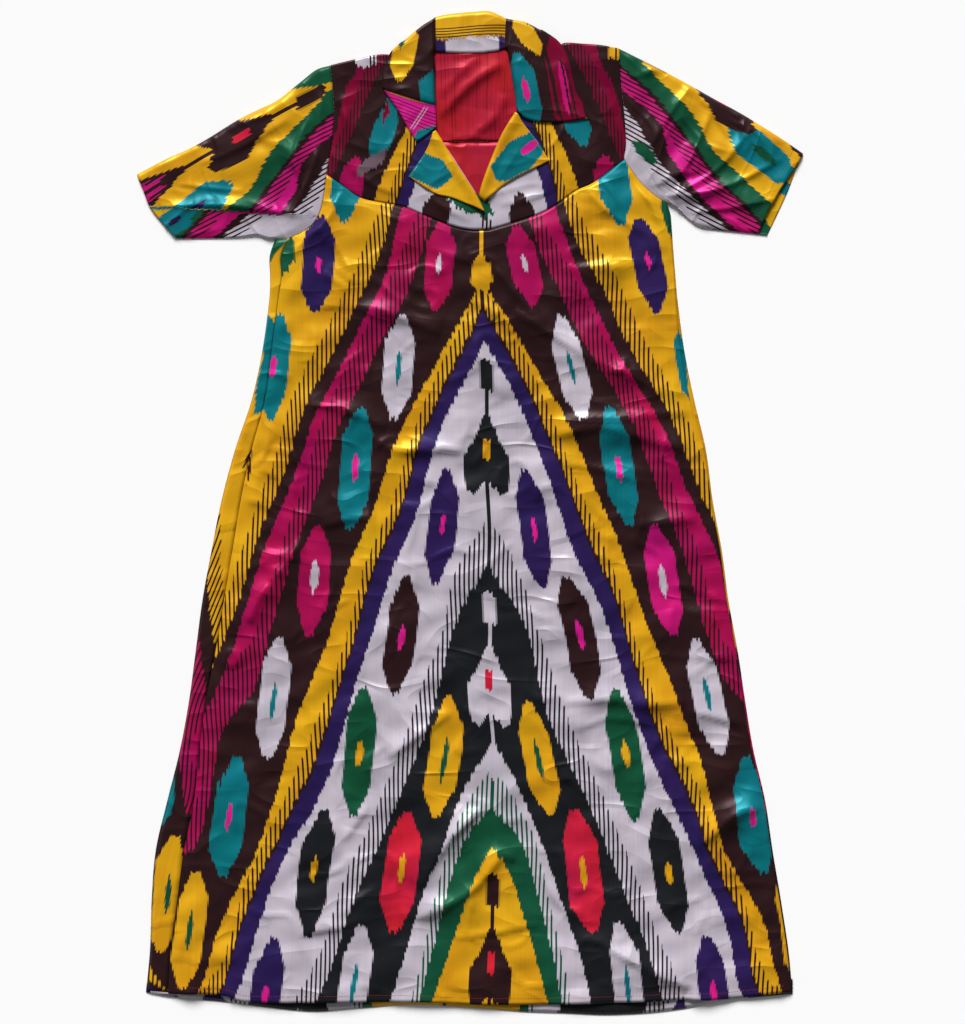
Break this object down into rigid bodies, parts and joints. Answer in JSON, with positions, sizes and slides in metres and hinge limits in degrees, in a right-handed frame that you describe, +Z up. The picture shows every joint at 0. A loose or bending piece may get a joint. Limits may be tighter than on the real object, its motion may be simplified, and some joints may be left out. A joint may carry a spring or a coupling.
{
  "type": "atlas silk dress laid flat",
  "caption": "Ikat silk dress laid flat, with a notched collar, turned-back lapels, front yoke, short sleeves and a flared skirt.",
  "frame": {"origin": "centre of the dress's bounding box, at the surface that it lies on", "axes": "+X to the picture's right, +Y from the hem towards the collar, +Z up out of the front"},
  "size_m": [0.7996, 1.2034, 0.0096],
  "materials": {
    "ikat_silk": "satin-faced warp ikat silk in golden yellow, maroon, magenta, white, navy, teal and black",
    "facing_silk": "the same satin ikat silk, golden yellow with teal ovals",
    "collar_silk": "the same satin ikat silk, maroon with yellow, teal and crimson",
    "inside_silk": "wrong side of the silk, crimson red with faint warp streaks"
  },
  "bodies": {
    "root": {"back_yoke": "inside_silk", "back_skirt": "ikat_silk", "front_skirt": "ikat_silk", "front_yoke_left": "ikat_silk", "front_yoke_right": "ikat_silk", "lapel_left": "facing_silk", "lapel_right": "facing_silk", "collar": "collar_silk", "sleeve_left": "ikat_silk", "sleeve_right": "ikat_silk"}
  },
  "joints": []
}
